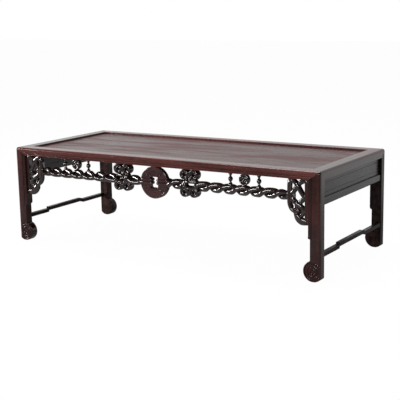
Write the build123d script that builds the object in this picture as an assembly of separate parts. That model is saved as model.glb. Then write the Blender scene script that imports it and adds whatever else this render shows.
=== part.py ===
"""Low kang table: mitred top frame with a floating panel, four legs with scroll feet, panelled
ends, stepped end stretchers, and an openwork rope apron at the front.

Millimetres. +Z is up, the origin is on the floor under the middle of the table, the long side
runs along X and the carved front faces -Y.
"""
from build123d import *
import os

# ---- overall size ----
table_length = 920.0
table_depth = 391.0
table_height = 260.0

# ---- top frame ----
frame_height = 21.0
rim_width = 34.0
outer_arris = 6.0
rim_arris = 1.5               # inner edge of the rim, above the panel
rim_lip = 5.0                 # the rim stands this far above the panel
panel_thickness = 8.0
panel_gap = 0.5               # shadow gap round the floating panel
tongue_thickness = 4.5
tongue_length = 6.0
tongue_play = 1.0             # room in the groove for the panel to swell
mitre_tenon_width = 10.0
mitre_tenon_setback = 15.0    # from the outer face of the member it leaves
mitre_tenon_thickness = 9.0
mitre_tenon_rise = 4.0        # above the underside of the frame
mitre_tenon_end_wall = 10.0   # wood left beyond the end of the tenon
frame_pin_diameter = 4.0
frame_pin_rise = 14.5

# ---- battens under the panel ----
batten_width = 24.0
batten_spacing = 212.0
dovetail_root = 15.0
dovetail_crown = 19.0
dovetail_depth = 3.0
batten_clear = 0.5            # above the underside of the frame
batten_tenon_length = 8.0
batten_tenon_height = 4.5

# ---- legs ----
leg_width = 31.5
leg_depth = 22.5
shank_width = 26.0            # below the step
step_radius = 5.0
step_height = 101.0           # underside of the step on the inner edge
foot_radius = 25.5
foot_centre_in = 18.5         # from the outer face of the leg
foot_centre_rise = 24.8
foot_arris = 2.0
foot_ring_radii = (20.0, 12.7, 5.5)
foot_ring_groove = 2.0
mitre_wedge = 7.0             # thickness of the mitred tongue on each outer face
leg_tenon_width = 12.0
leg_tenon_depth = 6.0
leg_tenon_height = 12.0
leg_tenon_gap = 0.8           # behind the mitred tongues

# ---- moulded strip along the inner edge of the front ----
strip_width = 9.0
strip_sink = 1.4
bead_radius = 2.6
bead_setback = 5.9            # centre of the bead from the inner edge
lip_radius = 1.5
lip_setback = 1.5
curl_radius = 4.2

# ---- end panels, rear panel and the rails under them ----
board_recess = 6.8            # from the outer face of the legs
board_thickness = 8.0
board_tongue = 4.0
apron_rail_height = 18.0
apron_rail_thickness = 14.0
apron_rail_recess = 2.3
apron_rail_arris = 3.0
apron_drop = 60.5             # underside of the frame to underside of the rail
apron_tenon_length = 9.0
apron_tenon_height = 10.0
apron_tenon_thickness = 6.0
field_margin = 10.0
field_line = 0.7

# ---- end stretchers ----
stretcher_thickness = 11.0
stretcher_recess = 1.0
stretcher_bottom = 57.5
stretcher_height = 10.0
hump_rise = 4.5
hump_front_reach = 83.0       # from the middle of the depth
hump_rear_reach = 73.0
hump_rear_slope = 12.0        # the front end of the hump is square, the rear end slopes down
stretcher_tenon_length = 8.0
stretcher_tenon_width = 6.0
stretcher_tenon_height = 7.0

# ---- openwork front ----
rope_drop = 41.0              # centre line below the frame
rope_setback = 13.5           # centre line behind the front face
strand_radius = 6.9
strand_offset = 6.2
half_twist = 39.0             # length of one lobe
rope_tenon_radius = 4.0
rope_tenon_length = 6.0
boss_from_end = 204.0
boss_radius = 14.0
boss_thickness = 12.0
boss_collar_radius = 5.5
boss_ring_radii = (9.5, 5.0)
boss_ring_groove = 1.1
strut_bulb_radius = 6.0
strut_neck_radius = 2.7
strut_flare_radius = 5.6
strut_lower_neck = 0.2       # share of the way from the rope to the frame
strut_bulb = 0.46
strut_upper_neck = 0.74
pin_radius = 2.0
pin_length = 5.0
knot_from_centre = 102.0
loop_radius = 13.8
loop_eye_radius = 4.0
loop_half_thickness = 8.0
loop_arris = 5.0
loop_spread = 13.3
lower_loop_drop = 16.2        # centre of the lower loops below the rope
knot_core_radius = 11.5
knot_crossing_bite = 2.2      # the crossing laps this far over the four loops
knot_crossing_half = 7.5      # half its thickness
knot_slot_length = 20.0
knot_slot_height = 5.5
knot_slot_offset = 3.0
disc_radius = 41.0
disc_thickness = 16.0
disc_setback = 2.0
disc_arris = 1.5
disc_hole_width = 26.0
disc_hole_height = 27.0
ribbon_height = 18.0
ribbon_raise = 1.6
ribbon_into_hole = 3.5
ribbon_groove = 1.2
spandrel_reach = 57.0         # from the inner edge of the leg
spandrel_drop = 108.0         # below the frame
spandrel_thickness = 16.0
spandrel_setback = 3.0
spandrel_tongue = 3.0
spandrel_tongue_thickness = 6.0
tube_width = 12.0
tube_bend = 9.0
tube_drop = 68.0              # where the outer tube starts to curl back to the leg
tube_curl = ((9.0, 79.0), (20.0, 81.0))                 # back from the tube, below the frame
tail_route = ((33.0, 79.0), (28.0, 92.0), (18.0, 102.0), (2.0, 103.0))   # from the leg, below
strand_width = 9.5
strand_bend = 8.0
braid_centre = 28.0           # from the inner edge of the leg
braid_first_crossing = 20.0   # below the frame
braid_pitch = 35.0            # from one crossing to the next
braid_half_widths = (13.0, 12.5, 12.0)
braid_ends = ((15.0, 102.0), (33.0, 96.0))              # where the two strands stop
edge_strip_width = 9.0
top_strip_height = 5.0

# ---- derived places ----
half_length = table_length / 2
half_depth = table_depth / 2
front = -half_depth
frame_bottom = table_height - frame_height
panel_top = table_height - rim_lip
panel_bottom = panel_top - panel_thickness
inner_length = half_length - rim_width
inner_depth = half_depth - rim_width
leg_inner_x = half_length - leg_width
leg_inner_y = half_depth - leg_depth
foot_x = half_length - foot_centre_in
apron_bottom = frame_bottom - apron_drop
apron_top = apron_bottom + apron_rail_height
rope_y = front + rope_setback
rope_radius = strand_radius + strand_offset
rope_height = frame_bottom - rope_drop
disc_rise = frame_bottom - disc_radius
rope_seat_x = (disc_radius**2 - rope_radius**2) ** 0.5     # flat seat on the rim of the disc
upper_loop_rise = frame_bottom - loop_radius
lower_loop_rise = rope_height - lower_loop_drop
boss_x = half_length - boss_from_end
boss_rise = frame_bottom - boss_radius


# ---- drawing helpers ----
def block(x0, x1, y0, y1, z0, z1):
    """Rectangular solid between two opposite corners."""
    middle = Pos((x0 + x1) / 2, (y0 + y1) / 2, (z0 + z1) / 2)
    return middle * Box(x1 - x0, y1 - y0, z1 - z0)


def rect(u0, u1, v0, v1):
    """Flat rectangle between two opposite corners."""
    return Pos((u0 + u1) / 2, (v0 + v1) / 2) * Rectangle(u1 - u0, v1 - v0)


def front_view(outline, y_front, thickness):
    """Solid whose outline is drawn in X and Z, from y_front towards the back."""
    plane = Plane(origin=(0, y_front, 0), x_dir=(1, 0, 0), z_dir=(0, -1, 0))
    return extrude(plane * outline, thickness, dir=(0, 1, 0))


def end_view(outline, x_left, thickness):
    """Solid whose outline is drawn in Y and Z, from x_left towards +X."""
    plane = Plane(origin=(x_left, 0, 0), x_dir=(0, 1, 0), z_dir=(1, 0, 0))
    return extrude(plane * outline, thickness, dir=(1, 0, 0))


def plan_view(points, z_bottom, height):
    """Upright solid over a plan outline."""
    outline = Pos(0, 0, z_bottom) * Polygon(*points, align=None)
    return extrude(outline, height, dir=(0, 0, 1))


def rod_x(x0, x1, y, z, radius):
    """Round rod along X."""
    return Pos((x0 + x1) / 2, y, z) * Rot(0, 90, 0) * Cylinder(radius, x1 - x0)


def rod_y(x, y0, y1, z, radius):
    """Round rod along Y."""
    return Pos(x, (y0 + y1) / 2, z) * Rot(90, 0, 0) * Cylinder(radius, y1 - y0)


def rod_z(x, y, z0, z1, radius):
    """Round rod along Z."""
    return Pos(x, y, (z0 + z1) / 2) * Cylinder(radius, z1 - z0)


def to_left(solid):
    """Mirror image on the other end of the table."""
    return mirror(solid, about=Plane.YZ)


def to_rear(solid):
    """Mirror image on the other long side of the table."""
    return mirror(solid, about=Plane.XZ)


def stroke(points, bend, width):
    """Flat band of one width that follows a run of points with rounded bends."""
    return trace(FilletPolyline(*points, radius=bend), line_width=width)


# ---- shape of the whole outside, with its rounded outer edges ----
def outside():
    """Block of the overall size, rounded along its uprights and its top edges."""
    body = block(-half_length, half_length, -half_depth, half_depth, 0, table_height)
    upright = body.edges().filter_by(Axis.Z)
    around_top = body.faces().sort_by(Axis.Z)[-1].edges()
    return fillet(upright + around_top, outer_arris)


# ---- top frame ----
def mitre_tenon():
    """Tenon that leaves the front member at the right mitre and enters the right member."""
    y0 = front + mitre_tenon_setback
    y1 = y0 + mitre_tenon_width
    z0 = frame_bottom + mitre_tenon_rise
    return plan_view(
        [
            (half_length - mitre_tenon_setback, y0),
            (half_length - mitre_tenon_setback - mitre_tenon_width, y1),
            (half_length - mitre_tenon_end_wall, y1),
            (half_length - mitre_tenon_end_wall, y0),
        ],
        z0,
        mitre_tenon_thickness,
    )


def frame_pin():
    """Wooden pin driven up through the right front mitre tenon."""
    x = half_length - board_recess - board_thickness - frame_pin_diameter
    y = front + mitre_tenon_setback + mitre_tenon_width / 2
    return rod_z(x, y, frame_bottom, frame_bottom + frame_pin_rise, frame_pin_diameter / 2)


def long_member():
    """Front member before it is cut for its neighbours."""
    member = plan_view(
        [(-half_length, front), (half_length, front), (inner_length, -inner_depth),
         (-inner_length, -inner_depth)],
        frame_bottom,
        frame_height,
    )
    along_top = member.edges().filter_by(Axis.X).group_by(Axis.Z)[-1]
    return fillet(along_top.sort_by(Axis.Y)[-1], rim_arris)


def short_member():
    """Right member before it is cut for its neighbours."""
    member = plan_view(
        [(half_length, front), (half_length, half_depth), (inner_length, inner_depth),
         (inner_length, -inner_depth)],
        frame_bottom,
        frame_height,
    )
    along_top = member.edges().filter_by(Axis.Y).group_by(Axis.Z)[-1]
    return fillet(along_top.sort_by(Axis.X)[0], rim_arris)


def panel_tongue(reach):
    """Slab round the top panel that runs in the groove of the frame."""
    x = inner_length + reach
    y = inner_depth + reach
    return block(-x, x, -y, y, panel_bottom, panel_bottom + tongue_thickness)


def batten_places():
    """Place of each batten along X, by name."""
    return {"left": -batten_spacing, "middle": 0.0, "right": batten_spacing}


def batten(x):
    """Dovetailed batten with a tenon into each long member."""
    bottom = frame_bottom + batten_clear
    half = batten_width / 2
    root = dovetail_root / 2
    crown = dovetail_crown / 2
    bar = block(x - half, x + half, -inner_depth, inner_depth, bottom, panel_bottom)
    tail = Polygon(
        (x - root, panel_bottom), (x + root, panel_bottom),
        (x + crown, panel_bottom + dovetail_depth), (x - crown, panel_bottom + dovetail_depth),
        align=None,
    )
    tail_end = inner_depth - panel_gap
    tenon_end = inner_depth + batten_tenon_length
    tenon = block(x - root, x + root, -tenon_end, tenon_end, bottom, bottom + batten_tenon_height)
    return bar + front_view(tail, -tail_end, 2 * tail_end) + tenon


def top_panel():
    """Floating panel with a tongue all round and a dovetail groove for each batten."""
    x = inner_length - panel_gap
    y = inner_depth - panel_gap
    board = block(-x, x, -y, y, panel_bottom, panel_top) + panel_tongue(tongue_length)
    for place in batten_places().values():
        board -= batten(place)
    return board


# ---- moulded strip round the front opening ----
def strip_channel():
    """Shallow channel that sinks the strip into the legs and the front member."""
    outer_x = leg_inner_x + strip_width
    outer_z = frame_bottom + strip_width
    zone = rect(-outer_x, outer_x, step_height, outer_z)
    zone -= rect(-leg_inner_x, leg_inner_x, step_height, frame_bottom)
    return front_view(zone, front, strip_sink)


def strip_bead(setback, radius):
    """Bead up one leg, along the front member and down the other leg."""
    x = leg_inner_x + setback
    y = front + radius
    z = frame_bottom + setback
    bead = rod_x(-x, x, y, z, radius)
    for side in (-1, 1):
        bead += rod_z(side * x, y, step_height, z, radius)
        bead += Pos(side * x, y, z) * Sphere(radius)
    return bead


def with_strip(piece):
    """Cuts the channel into a piece and leaves its beads standing."""
    beads = strip_bead(bead_setback, bead_radius) + strip_bead(lip_setback, lip_radius)
    return (piece - strip_channel()) + (beads & piece)


# ---- legs ----
def leg_head():
    """Top of the right front leg: two mitred tongues on the outer faces and a tenon."""
    front_tongue = Polygon(
        (leg_inner_x, frame_bottom), (half_length, frame_bottom), (half_length, table_height),
        align=None,
    )
    side_tongue = Polygon(
        (-leg_inner_y, frame_bottom), (front, table_height), (front, frame_bottom), align=None
    )
    tenon_x = half_length - mitre_wedge - leg_tenon_gap
    tenon_y = front + mitre_wedge + leg_tenon_gap
    tenon = block(
        tenon_x - leg_tenon_width, tenon_x, tenon_y, tenon_y + leg_tenon_depth,
        frame_bottom, frame_bottom + leg_tenon_height,
    )
    head = front_view(front_tongue, front, mitre_wedge)
    head += end_view(side_tongue, half_length - mitre_wedge, mitre_wedge)
    return head + tenon


def leg_post():
    """Right front leg below the frame, with its step; the scroll foot is not yet flattened."""
    shank_x = half_length - shank_width
    outline = rect(shank_x, half_length, foot_centre_rise, frame_bottom)
    outline += rect(leg_inner_x, half_length, step_height + step_radius, frame_bottom)
    outline += Pos(shank_x, step_height + step_radius) * Circle(step_radius)
    foot = rod_y(foot_x, front, front + leg_depth, foot_centre_rise, foot_radius)
    foot = fillet(foot.edges().filter_by(GeomType.CIRCLE), foot_arris)
    return front_view(outline, front, leg_depth) + foot


def ring_groove(x, y, z, ring_radius, groove_radius):
    """Round groove, in a circle, for a face that looks along Y."""
    return Pos(x, y, z) * Rot(90, 0, 0) * Torus(ring_radius, groove_radius)


def plain_leg():
    """Right leg at the front with no carving, cut to the outer faces and the floor."""
    return (leg_post() + leg_head()) & outside()


def moulded_leg():
    """Right front leg with the strip, its curled end and the carved scroll."""
    leg = with_strip(plain_leg())
    curl_x = half_length - leg_width + curl_radius
    curl = rod_y(curl_x, front, front + 2 * strip_sink, step_height + curl_radius, curl_radius)
    leg += curl
    leg -= ring_groove(curl_x, front, step_height + curl_radius, curl_radius / 2, strip_sink / 2)
    for radius in foot_ring_radii:
        leg -= ring_groove(foot_x, front, foot_centre_rise, radius, foot_ring_groove)
    return leg


# ---- end and rear boards ----
def field_lines(u0, u1, v0, v1):
    """Flat outline of the line cut round the raised field of a board."""
    outer = rect(u0, u1, v0, v1)
    inner = rect(u0 + field_line, u1 - field_line, v0 + field_line, v1 - field_line)
    return outer - inner


def end_board_right():
    """Board between the right legs, in grooves of the legs, the rail and the frame."""
    x1 = half_length - board_recess
    x0 = x1 - board_thickness
    y = leg_inner_y + board_tongue
    board = block(x0, x1, -y, y, apron_top - board_tongue, frame_bottom + board_tongue)
    field_y = leg_inner_y - field_margin
    lines = field_lines(-field_y, field_y, apron_top + field_margin, frame_bottom - field_margin)
    return board - end_view(lines, x1 - field_line, field_line)


def rear_board():
    """Board between the rear legs."""
    y1 = half_depth - board_recess
    y0 = y1 - board_thickness
    x = leg_inner_x + board_tongue
    board = block(-x, x, y0, y1, apron_top - board_tongue, frame_bottom + board_tongue)
    field_x = leg_inner_x - field_margin
    lines = field_lines(-field_x, field_x, apron_top + field_margin, frame_bottom - field_margin)
    return board - front_view(lines, y1 - field_line, field_line)


def apron_section(outer):
    """Rail section with rounded arrises on its outer face."""
    section = rect(outer - apron_rail_thickness, outer, apron_bottom, apron_top)
    return fillet(section.vertices().sort_by(Axis.X)[-2:], apron_rail_arris)


def end_rail_right():
    """Rail under the right board, tenoned into the legs."""
    x1 = half_length - apron_rail_recess
    middle = x1 - apron_rail_thickness / 2
    rail = front_view(apron_section(x1), -leg_inner_y, 2 * leg_inner_y)
    reach = leg_inner_y + apron_tenon_length
    centre_z = apron_bottom + apron_rail_height / 2
    tenon = block(
        middle - apron_tenon_thickness / 2, middle + apron_tenon_thickness / 2, -reach, reach,
        centre_z - apron_tenon_height / 2, centre_z + apron_tenon_height / 2,
    )
    return rail + tenon - end_board_right()


def rear_rail():
    """Rail under the rear board, tenoned into the rear legs."""
    y1 = half_depth - apron_rail_recess
    middle = y1 - apron_rail_thickness / 2
    rail = end_view(apron_section(y1), -leg_inner_x, 2 * leg_inner_x)
    reach = leg_inner_x + apron_tenon_length
    centre_z = apron_bottom + apron_rail_height / 2
    tenon = block(
        -reach, reach, middle - apron_tenon_thickness / 2, middle + apron_tenon_thickness / 2,
        centre_z - apron_tenon_height / 2, centre_z + apron_tenon_height / 2,
    )
    return rail + tenon - rear_board()


# ---- end stretchers ----
def end_stretcher_right():
    """Hump-back stretcher between the right legs, with its tenons."""
    x1 = half_length - stretcher_recess
    x0 = x1 - stretcher_thickness
    top = stretcher_bottom + stretcher_height
    hump = Polygon(
        (-hump_front_reach, 0), (hump_rear_reach, 0),
        (hump_rear_reach - hump_rear_slope, hump_rise), (-hump_front_reach, hump_rise),
        align=None,
    )
    outline = rect(-leg_inner_y, leg_inner_y, stretcher_bottom, top)
    outline += Pos(0, top) * hump
    outline -= Pos(0, stretcher_bottom) * hump
    middle = (x0 + x1) / 2
    reach = leg_inner_y + stretcher_tenon_length
    centre_z = stretcher_bottom + stretcher_height / 2
    tenon = block(
        middle - stretcher_tenon_width / 2, middle + stretcher_tenon_width / 2, -reach, reach,
        centre_z - stretcher_tenon_height / 2, centre_z + stretcher_tenon_height / 2,
    )
    ends = block(x0, x1, -reach, -hump_front_reach, 0, table_height)
    ends += block(x0, x1, hump_rear_reach, reach, 0, table_height)
    return end_view(outline, x0, stretcher_thickness) + (tenon & ends)


# ---- openwork front ----
def braid_strand(side, end):
    """Route of one strand of the braid; it starts on the given side and swaps at each crossing."""
    route = []
    for loop, half_width in enumerate(braid_half_widths):
        crossing = frame_bottom - braid_first_crossing - loop * braid_pitch
        swing = side * half_width * (-1) ** loop
        route.append((braid_centre + swing, crossing + braid_pitch / 2))
        route.append((braid_centre, crossing))
    route.append((end[0], frame_bottom - end[1]))
    return route


def spandrel_sketch():
    """Pierced rope carving in front elevation, drawn inwards from the leg."""
    tube_u = spandrel_reach - tube_width / 2
    tube_route = [(tube_u, frame_bottom), (tube_u, frame_bottom - tube_drop)]
    tube_route += [(tube_u - back, frame_bottom - drop) for back, drop in tube_curl]
    tail = [(u, frame_bottom - drop) for u, drop in tail_route]
    carving = stroke(tube_route, tube_bend, tube_width)
    carving += stroke(tail, strand_bend, strand_width)
    for side, end in zip((1, -1), braid_ends):
        carving += stroke(braid_strand(side, end), strand_bend, strand_width)
    carving += rect(0, edge_strip_width, frame_bottom - spandrel_drop, frame_bottom)
    carving += rect(0, tube_u, frame_bottom - top_strip_height, frame_bottom)
    return carving & rect(0, spandrel_reach, frame_bottom - 2 * spandrel_drop, frame_bottom)


def spandrel_right():
    """Right spandrel with the tongue that sits in a groove of the leg."""
    sketch = mirror(spandrel_sketch(), about=Plane.YZ)
    y0 = front + spandrel_setback
    carving = front_view(Pos(leg_inner_x, 0) * sketch, y0, spandrel_thickness)
    middle = y0 + spandrel_thickness / 2
    tongue = block(
        leg_inner_x, leg_inner_x + spandrel_tongue,
        middle - spandrel_tongue_thickness / 2, middle + spandrel_tongue_thickness / 2,
        frame_bottom - spandrel_drop + strand_width, frame_bottom,
    )
    return carving + tongue


def rope_right(x0, x1):
    """Twisted two-strand rope between two places on the right, its lobes set out from the boss."""
    length = x1 - x0
    turned = 180 * (x0 - boss_x) / half_twist
    upper = Pos(0, strand_offset) * Circle(strand_radius)
    lower = Pos(0, -strand_offset) * Circle(strand_radius)
    section = Plane.YZ * (Rot(0, 0, -turned) * (upper + lower))
    rope = Solid.extrude_linear_with_rotation(
        section.faces()[0].outer_wire(),
        center=(0, 0, 0),
        normal=(length, 0, 0),
        angle=-180 * length / half_twist,
    )
    return Pos(x0, rope_y, rope_height) * rope


def rope_tenon(x0, x1):
    """Round bar through a rope whose two ends are its tenons."""
    return rod_x(x0, x1, rope_y, rope_height, rope_tenon_radius)


def rope_outer_right():
    """Rope from the knot to the spandrel, with a round tenon at each end."""
    x0 = knot_from_centre + loop_spread + loop_radius
    x1 = leg_inner_x - spandrel_reach
    tenon = rope_tenon(x0 - rope_tenon_length, x1 + rope_tenon_length)
    return rope_right(x0, x1) + tenon


def rope_inner_right():
    """Rope from the disc to the knot, with a round tenon at each end."""
    x0 = rope_seat_x
    x1 = knot_from_centre - loop_spread - loop_radius
    tenon = rope_tenon(x0 - rope_tenon_length, x1 + rope_tenon_length)
    return rope_right(x0, x1) + tenon


def knot_right():
    """Four-loop knot on the rope, its upper loops against the underside of the frame."""
    thickness = 2 * loop_half_thickness
    core_half = loop_spread + loop_radius
    core = rod_x(-core_half, core_half, 0, rope_height, knot_core_radius)
    ring = rod_y(0, -loop_half_thickness, loop_half_thickness, 0, loop_radius)
    ring = fillet(ring.edges().filter_by(GeomType.CIRCLE), loop_arris)
    ring -= rod_y(0, -loop_half_thickness, loop_half_thickness, 0, loop_eye_radius)
    knot = core
    for x in (-loop_spread, loop_spread):
        for z in (lower_loop_rise, upper_loop_rise):
            knot += Pos(x, 0, z) * ring
    crossing_rise = (lower_loop_rise + upper_loop_rise) / 2
    to_loop = (loop_spread**2 + (upper_loop_rise - crossing_rise) ** 2) ** 0.5
    crossing_radius = to_loop - loop_radius + knot_crossing_bite
    knot += rod_y(0, -knot_crossing_half, knot_crossing_half, crossing_rise, crossing_radius)
    slot_x = knot_slot_offset
    slot = rect(
        slot_x - knot_slot_length / 2, slot_x + knot_slot_length / 2,
        rope_height - knot_slot_height / 2, rope_height + knot_slot_height / 2,
    )
    slot = fillet(slot.vertices(), knot_slot_height / 3)
    knot -= front_view(slot, -thickness, 2 * thickness)
    return Pos(knot_from_centre, rope_y, 0) * knot


def disc_ornament():
    """Round disc with a square hole, a ribbon band on each side of it and two rope seats."""
    y0 = front + disc_setback
    face = Pos(0, disc_rise) * Circle(disc_radius)
    hole_x = disc_hole_width / 2
    hole_z = disc_hole_height / 2
    hole = rect(-hole_x, hole_x, disc_rise - hole_z, disc_rise + hole_z)
    disc = front_view(face, y0, disc_thickness)
    disc = chamfer(disc.edges().filter_by(GeomType.CIRCLE), disc_arris)
    disc -= front_view(hole, y0, disc_thickness)
    inner_x = hole_x - ribbon_into_hole
    outer_x = disc_radius - 2 * disc_arris
    half = ribbon_height / 2
    for side in (-1, 1):
        ends = sorted((side * inner_x, side * outer_x))
        band = rect(ends[0], ends[1], disc_rise - half, disc_rise + half)
        disc += front_view(band, y0 - ribbon_raise, disc_thickness + ribbon_raise)
        for line in (-half / 3, half / 3):
            groove = rect(
                ends[0], ends[1],
                disc_rise + line - ribbon_groove / 2, disc_rise + line + ribbon_groove / 2,
            )
            disc -= front_view(groove, y0 - ribbon_raise, ribbon_groove)
        seat = sorted((side * rope_seat_x, side * (disc_radius + rope_radius)))
        disc -= block(
            seat[0], seat[1], rope_y - 2 * rope_radius, rope_y + 2 * rope_radius,
            rope_height - rope_radius, rope_height + rope_radius,
        )
    return disc


def strut(x):
    """Turned strut with a pin at each end, between the rope and the frame."""
    foot = rope_height + strand_offset
    shoulder = rope_height + rope_radius
    rise = frame_bottom - shoulder
    side = Spline(
        (strut_flare_radius, shoulder),
        (strut_neck_radius, shoulder + strut_lower_neck * rise),
        (strut_bulb_radius, shoulder + strut_bulb * rise),
        (strut_neck_radius, shoulder + strut_upper_neck * rise),
        (strut_flare_radius, frame_bottom),
    )
    outline = Polyline(
        side @ 1, (pin_radius, frame_bottom), (pin_radius, frame_bottom + pin_length),
        (0, frame_bottom + pin_length), (0, foot - pin_length), (pin_radius, foot - pin_length),
        (pin_radius, foot), (strut_flare_radius, foot), side @ 0,
    )
    half_section = make_face(side + outline)
    plane = Plane(origin=(x, rope_y, 0), x_dir=(1, 0, 0), z_dir=(0, -1, 0))
    return revolve(plane * half_section, Axis((x, rope_y, 0), (0, 0, 1)))


def strut_places():
    """Distance from the middle of the table of the two struts on one side."""
    return {"outer": boss_x + half_twist, "inner": boss_x - half_twist}


def boss_right():
    """Round button with turned rings, a collar on the rope and a pin at each end."""
    y0 = rope_y - boss_thickness / 2
    button = rod_y(boss_x, y0, y0 + boss_thickness, boss_rise, boss_radius)
    button = fillet(button.edges().filter_by(GeomType.CIRCLE), disc_arris)
    for radius in boss_ring_radii:
        button -= ring_groove(boss_x, y0, boss_rise, radius, boss_ring_groove)
    foot = rope_height + strand_offset
    button += rod_z(boss_x, rope_y, foot, boss_rise, boss_collar_radius)
    return button + rod_z(
        boss_x, rope_y, foot - pin_length, frame_bottom + pin_length, pin_radius
    )


# ---- assembly: each piece is cut for what enters it ----
def both_ends(right):
    """The right pieces and their mirror images, by name."""
    pieces = {}
    for name, piece in right.items():
        pieces[name + "_right"] = piece
        pieces[name + "_left"] = to_left(piece)
    return pieces


def openwork():
    """The pieces of the carved front that have a left and a right copy."""
    right = {"rope_outer": rope_outer_right(), "rope_inner": rope_inner_right()}
    right["knot"] = knot_right() - right["rope_outer"] - right["rope_inner"]
    right["boss"] = boss_right()
    for name, x in strut_places().items():
        right["strut_" + name] = strut(x)
    for name in ("boss", "strut_outer", "strut_inner"):
        right["rope_outer"] -= right[name]
    right["spandrel"] = spandrel_right() - right["rope_outer"]
    return right


def legs_right(right, openwork_right):
    """The two right legs with the sockets of what enters them."""
    front_leg = moulded_leg()
    rear_leg = to_rear(plain_leg())
    for name in ("end_panel", "end_rail", "end_stretcher"):
        front_leg -= right[name]
        rear_leg -= right[name]
    front_leg -= openwork_right["spandrel"]
    for rear_piece in (rear_board(), rear_rail()):
        rear_leg -= rear_piece
    return {"leg_front": front_leg, "leg_rear": rear_leg}


def top_frame(pieces):
    """The four members of the top frame, with their mitre tenons and mortises."""
    tenons = mitre_tenon() + to_left(mitre_tenon())
    groove = panel_tongue(tongue_length + tongue_play)
    front_member = with_strip((long_member() + tenons) & outside())
    rear_member = to_rear((long_member() + tenons) & outside())
    right_member = (short_member() & outside()) - tenons - to_rear(tenons)
    left_member = (to_left(short_member()) & outside()) - tenons - to_rear(tenons)
    members = {
        "top_frame_front": front_member,
        "top_frame_rear": rear_member,
        "top_frame_right": right_member,
        "top_frame_left": left_member,
    }
    enters = {
        "top_frame_front": [name for name in pieces if not name.startswith(("rear_", "leg_rear"))],
        "top_frame_rear": ["rear_panel", "leg_rear_left", "leg_rear_right"],
        "top_frame_right": ["end_panel_right", "leg_front_right", "leg_rear_right"],
        "top_frame_left": ["end_panel_left", "leg_front_left", "leg_rear_left"],
    }
    enters["top_frame_rear"] += [name for name in pieces if name.startswith("batten_")]
    for member, names in enters.items():
        members[member] -= groove
        for name in names:
            members[member] -= pieces[name]
        members[member] -= pieces["frame_pins"]
    return members


def all_pieces():
    """Every piece of the table, by name."""
    openwork_right = openwork()
    right = {
        "end_panel": end_board_right(),
        "end_rail": end_rail_right(),
        "end_stretcher": end_stretcher_right(),
    }
    right.update(legs_right(right, openwork_right))
    right.update(openwork_right)
    pieces = both_ends(right)
    pieces["disc_ornament"] = (
        disc_ornament() - pieces["rope_inner_right"] - pieces["rope_inner_left"]
    )
    pieces["rear_panel"] = rear_board()
    pieces["rear_rail"] = rear_rail()
    for name, x in batten_places().items():
        pieces["batten_" + name] = batten(x)
    pin = frame_pin()
    pieces["frame_pins"] = Compound(
        children=[pin, to_left(pin), to_rear(pin), to_left(to_rear(pin))]
    )
    pieces.update(top_frame(pieces))
    pieces["top_panel"] = top_panel()
    return pieces


os.makedirs("parts", exist_ok=True)
for name, piece in all_pieces().items():
    export_step(piece, f"parts/{name}.step")
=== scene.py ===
"""Dresses the low kang table: carved rope apron, hardwood finishes and a plain white studio.

Metres. +Z is up, the origin is on the floor under the middle of the table and the carved front
faces -Y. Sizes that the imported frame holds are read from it.
"""
import math

import bmesh
import bpy
from bpy.props import FloatProperty, FloatVectorProperty, PointerProperty
from mathutils import Euler, Matrix, Vector


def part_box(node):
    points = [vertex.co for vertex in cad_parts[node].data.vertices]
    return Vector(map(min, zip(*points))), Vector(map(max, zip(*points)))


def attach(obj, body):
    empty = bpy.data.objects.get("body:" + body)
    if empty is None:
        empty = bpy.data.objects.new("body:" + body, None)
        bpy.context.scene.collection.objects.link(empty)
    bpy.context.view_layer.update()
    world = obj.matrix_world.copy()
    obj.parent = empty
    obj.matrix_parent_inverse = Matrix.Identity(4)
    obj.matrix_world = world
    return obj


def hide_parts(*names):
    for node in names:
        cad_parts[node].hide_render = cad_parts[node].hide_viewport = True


bl_info = {
    "name": "Kang table dressing",
    "version": (1, 0, 0),
    "blender": (4, 5, 0),
    "location": "View3D > Sidebar > Kang table",
    "description": "Carved rope apron, hardwood finishes and studio for a low kang table",
    "category": "Object",
}

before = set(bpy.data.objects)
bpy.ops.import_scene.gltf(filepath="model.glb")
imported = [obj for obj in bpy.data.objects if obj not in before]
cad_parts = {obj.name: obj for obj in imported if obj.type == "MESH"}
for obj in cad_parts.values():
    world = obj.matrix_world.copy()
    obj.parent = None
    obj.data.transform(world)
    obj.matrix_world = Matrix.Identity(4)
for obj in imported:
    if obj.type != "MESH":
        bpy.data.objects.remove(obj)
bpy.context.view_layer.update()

MM = 0.001
BODY = "root"
ACROSS = Vector((0, 1, 0))      # depth direction of the carved front
UP = Vector((0, 0, 1))
TIP = 0.0001 * MM               # radius that closes a turned profile on its axis


# ---- places read from the frame ----
def middle(node):
    """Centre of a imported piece."""
    low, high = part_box(node)
    return (low + high) / 2


frame_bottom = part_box("top_frame_front")[0].z
front_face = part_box("top_frame_front")[0].y
rope_axis = middle("rope_outer_right")
boss_x = middle("boss_right").x
rope_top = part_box("rope_outer_right")[1].z
rope_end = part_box("rope_outer_right")[1].x
leg_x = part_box("spandrel_right")[1].x - 3 * MM        # the carving is let into the leg


# ---- property helpers ----
def length(name, description, millimetres):
    """A size in metres whose default is given in millimetres."""
    return FloatProperty(
        name=name, description=description, default=millimetres * MM,
        unit="LENGTH", subtype="DISTANCE", precision=5,
    )


def tint(name, description, red, green, blue):
    """A linear colour."""
    return FloatVectorProperty(
        name=name, description=description, default=(red, green, blue),
        subtype="COLOR", size=3, min=0, max=1,
    )


def share(name, description, default):
    """A value from nothing to all."""
    return FloatProperty(
        name=name, description=description, default=default, subtype="FACTOR", min=0, max=1,
    )


def turn(name, description, degrees):
    """An angle whose default is given in degrees."""
    return FloatProperty(
        name=name, description=description, default=math.radians(degrees),
        unit="ROTATION", subtype="ANGLE",
    )


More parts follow.
